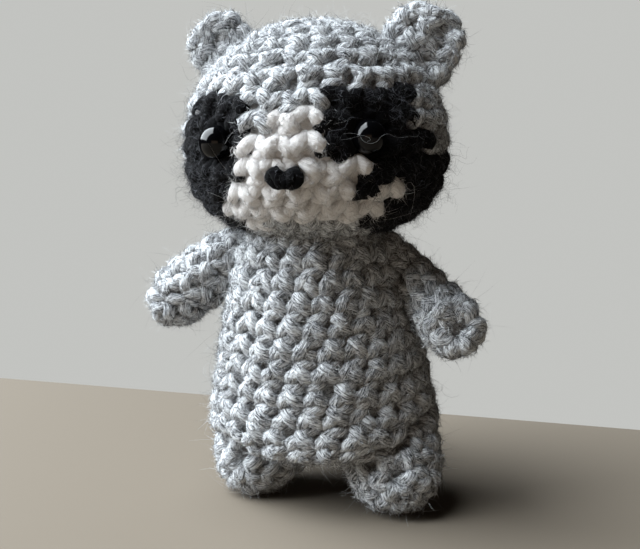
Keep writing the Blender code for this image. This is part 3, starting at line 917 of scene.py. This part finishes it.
# Two long stray fibres that have worked loose across the left eye; across, up and out of the face
# in millimetres from the middle of the eye
strayLook = {"lines": (((-5.6, 0.5, 1.2), (-4.2, 0.6, 1.5), (-2.9, 0.3, 1.9), (-2.3, -0.7, 2.4),
                        (-1.2, -1.1, 2.8), (-0.1, -0.8, 3.0), (0.8, 0.1, 3.0), (1.9, 0.45, 2.6),
                        (3.0, 0.45, 1.8), (4.3, 0.0, 1.3), (5.8, -0.1, 0.9), (7.4, 0.1, 0.6),
                        (8.8, 0.0, 0.4), (9.4, 0.5, 0.2), (9.5, 1.3, -0.1)),
                       ((-6.0, -0.5, 1.1), (-4.4, -0.3, 1.4), (-3.0, 0.1, 1.8), (-2.3, 0.2, 2.4),
                        (-1.5, -0.1, 2.8), (-1.2, -0.5, 2.9), (-1.7, -0.8, 2.6))),
             "radius": 0.020, "rings": 70, "tone": 0.2}
paths = np.array([onFace("eye_left", smoothPath(line, strayLook["rings"] + 2))
                  for line in strayLook["lines"]])
radius = np.full((len(paths), strayLook["rings"]), strayLook["radius"])
addThreads("mask_left_stray_fibres", paths, radius, "grey", np.full(len(paths), strayLook["tone"]))
print("eyes, nose and stray fibres")


# Matte studio paper, pale and plain, so that only the shadow marks it; in metres
stage = {"floor": "#665D51", "roughness": 0.9, "width": 2.4, "front": -1.6, "back": 0.0524,
         "turn": radians(-1.5)}
paper, tree = newMaterial("studioPaperMatte")
shader = addNode(tree, "ShaderNodeBsdfPrincipled",
                 {"Base Color": hexToLinear(stage["floor"]), "Roughness": stage["roughness"]})
addNode(tree, "ShaderNodeOutputMaterial", {}, {"Surface": shader.outputs[0]})
floorMesh = bpy.data.meshes.new("floor")
half = stage["width"] / 2
floorMesh.from_pydata([(-half, stage["front"], 0), (half, stage["front"], 0), (half, stage["back"], 0),
                       (-half, stage["back"], 0)], [], [(0, 1, 2, 3)])
floorMesh.materials.append(paper)
floor = bpy.data.objects.new("floor", floorMesh)
floor.rotation_euler = (0.0, 0.0, stage["turn"])
bpy.context.scene.collection.objects.link(floor)
floor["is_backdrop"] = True

# the backdrop is pale to the eye, and gives the toy only a weak fill
studio = {"backdrop": "#C7C8C5", "backdropStrength": 0.95, "fill": "#D6CBC3", "fillStrength": 0.018}
world = bpy.data.worlds.new("studio")
bpy.context.scene.world = world
world.use_nodes = True
sky = world.node_tree
sky.nodes.clear()
backdrop, fill = (addNode(sky, "ShaderNodeBackground",
                          {"Color": hexToLinear(studio[part]), "Strength": studio[part + "Strength"]})
                  for part in ("backdrop", "fill"))
seen = addNode(sky, "ShaderNodeLightPath")
either = addNode(sky, "ShaderNodeMixShader", {},
                 {0: seen.outputs["Is Camera Ray"], 1: fill.outputs[0], 2: backdrop.outputs[0]})
addNode(sky, "ShaderNodeOutputWorld", {}, {"Surface": either.outputs[0]})


# places and sizes in metres; both lights face the middle of the toy
lights = {"window": {"place": (-0.74, -0.12, 0.77), "size": (1.2, 1.4), "watts": 77, "colour": "#E8F0F6"},
          "room": {"place": (0.1, -0.7, 0.06), "size": (0.6, 0.3), "watts": 0.42, "colour": "#FFE0C0"}}
lightAim = Vector((0, 0, 0.05))


def addLight(name, look):
    data = bpy.data.lights.new(name, "AREA")
    data.shape = "RECTANGLE"
    data.size, data.size_y = look["size"]
    data.energy = look["watts"]
    data.color = hexToLinear(look["colour"])[:3]
    made = bpy.data.objects.new(name, data)
    made.location = look["place"]
    made.rotation_euler = (lightAim - Vector(look["place"])).to_track_quat("-Z", "Y").to_euler()
    bpy.context.scene.collection.objects.link(made)


for name, look in lights.items():
    addLight(name, look)

# place and nearest in metres, turn and down in degrees, lens and sensor in millimetres
view = {"place": (0.0456, -0.1828, 0.0736), "turn": 14.0, "down": 8.74, "lens": 51.0,
        "sensor": 36.0, "nearest": 0.01}
camera = bpy.data.objects.new("camera", bpy.data.cameras.new("camera"))
camera.data.lens = view["lens"]
camera.data.sensor_width = view["sensor"]
camera.data.clip_start = view["nearest"]
camera.location = view["place"]
camera.rotation_euler = (radians(90 - view["down"]), 0.0, radians(view["turn"]))
bpy.context.scene.collection.objects.link(camera)
bpy.context.scene.camera = camera
bpy.context.scene.view_settings.view_transform = "Standard"

sizes = {piece.name: sum(len(face.vertices) - 2 for face in piece.data.polygons)
         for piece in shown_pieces() if piece.type == "MESH"}
print("triangles", sum(sizes.values()), "most in one piece", max(sizes.values()))
